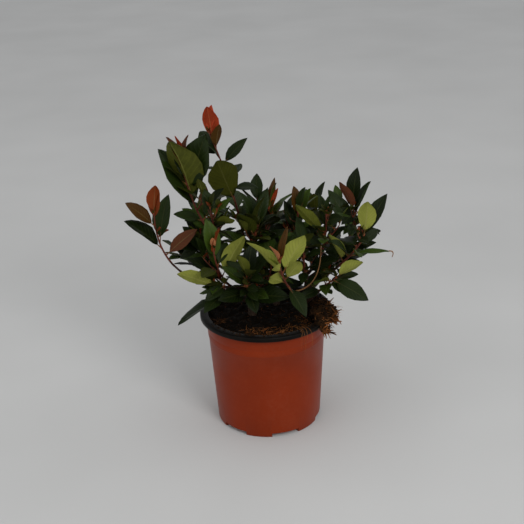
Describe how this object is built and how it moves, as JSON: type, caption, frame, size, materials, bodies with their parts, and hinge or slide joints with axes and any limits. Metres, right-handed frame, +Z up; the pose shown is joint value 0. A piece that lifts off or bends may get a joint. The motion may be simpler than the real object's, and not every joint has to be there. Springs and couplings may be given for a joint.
{
  "type": "potted evergreen shrub",
  "caption": "Small evergreen red-tip shrub with glossy leaves and red young shoots, in a round two-tone plastic nursery pot filled with peat that stands on its flat base.",
  "frame": {"origin": "centre of the flat underside of the pot", "axes": "+Z up, -Y towards the viewer of the front, +X to the right"},
  "size_m": [0.361, 0.2484, 0.47],
  "materials": {
    "pot_terracotta": "thin terracotta-coloured plastic with a soft sheen",
    "pot_black": "black plastic with a soft sheen",
    "peat": "damp dark peat with bark and fibre",
    "bark": "smooth red-brown young bark",
    "foliage_green": "glossy dark green leaves with pale undersides",
    "foliage_red": "glossy green leaves with red and bronze young ones at the tips"
  },
  "bodies": {
    "root": {"pot": "pot_terracotta", "pot_rim": "pot_black", "peat": "peat", "stem_left": "bark", "stem_middle": "bark", "stem_right": "bark", "bough_back_left": "bark", "bough_back_low_left": "bark", "bough_back_low_right": "bark", "bough_back_mid": "bark", "bough_back_right": "bark", "bough_centre": "bark", "bough_far_left": "bark", "bough_front_left": "bark", "bough_front_mid": "bark", "bough_inner_front": "bark", "bough_inner_left": "bark", "bough_inner_right": "bark", "bough_left_mid": "bark", "bough_low_front": "bark", "bough_low_left": "bark", "bough_low_right": "bark", "bough_middle": "bark", "bough_right": "bark", "bough_right_high": "bark", "bough_right_mid": "bark", "bough_small_left": "bark", "bough_top": "bark", "bough_upper_left": "bark", "foliage_back_left": "foliage_green", "foliage_back_low_left": "foliage_green", "foliage_back_low_right": "foliage_green", "foliage_back_mid": "foliage_red", "foliage_back_right": "foliage_green", "foliage_centre": "foliage_green", "foliage_far_left": "foliage_red", "foliage_front_left": "foliage_red", "foliage_front_mid": "foliage_green", "foliage_inner_front": "foliage_green", "foliage_inner_left": "foliage_green", "foliage_inner_right": "foliage_green", "foliage_left_mid": "foliage_green", "foliage_low_front": "foliage_green", "foliage_low_left": "foliage_green", "foliage_low_right": "foliage_green", "foliage_middle": "foliage_red", "foliage_right": "foliage_green", "foliage_right_high": "foliage_green", "foliage_right_mid": "foliage_green", "foliage_small_left": "foliage_green", "foliage_top": "foliage_red", "foliage_upper_left": "foliage_red"}
  },
  "joints": []
}
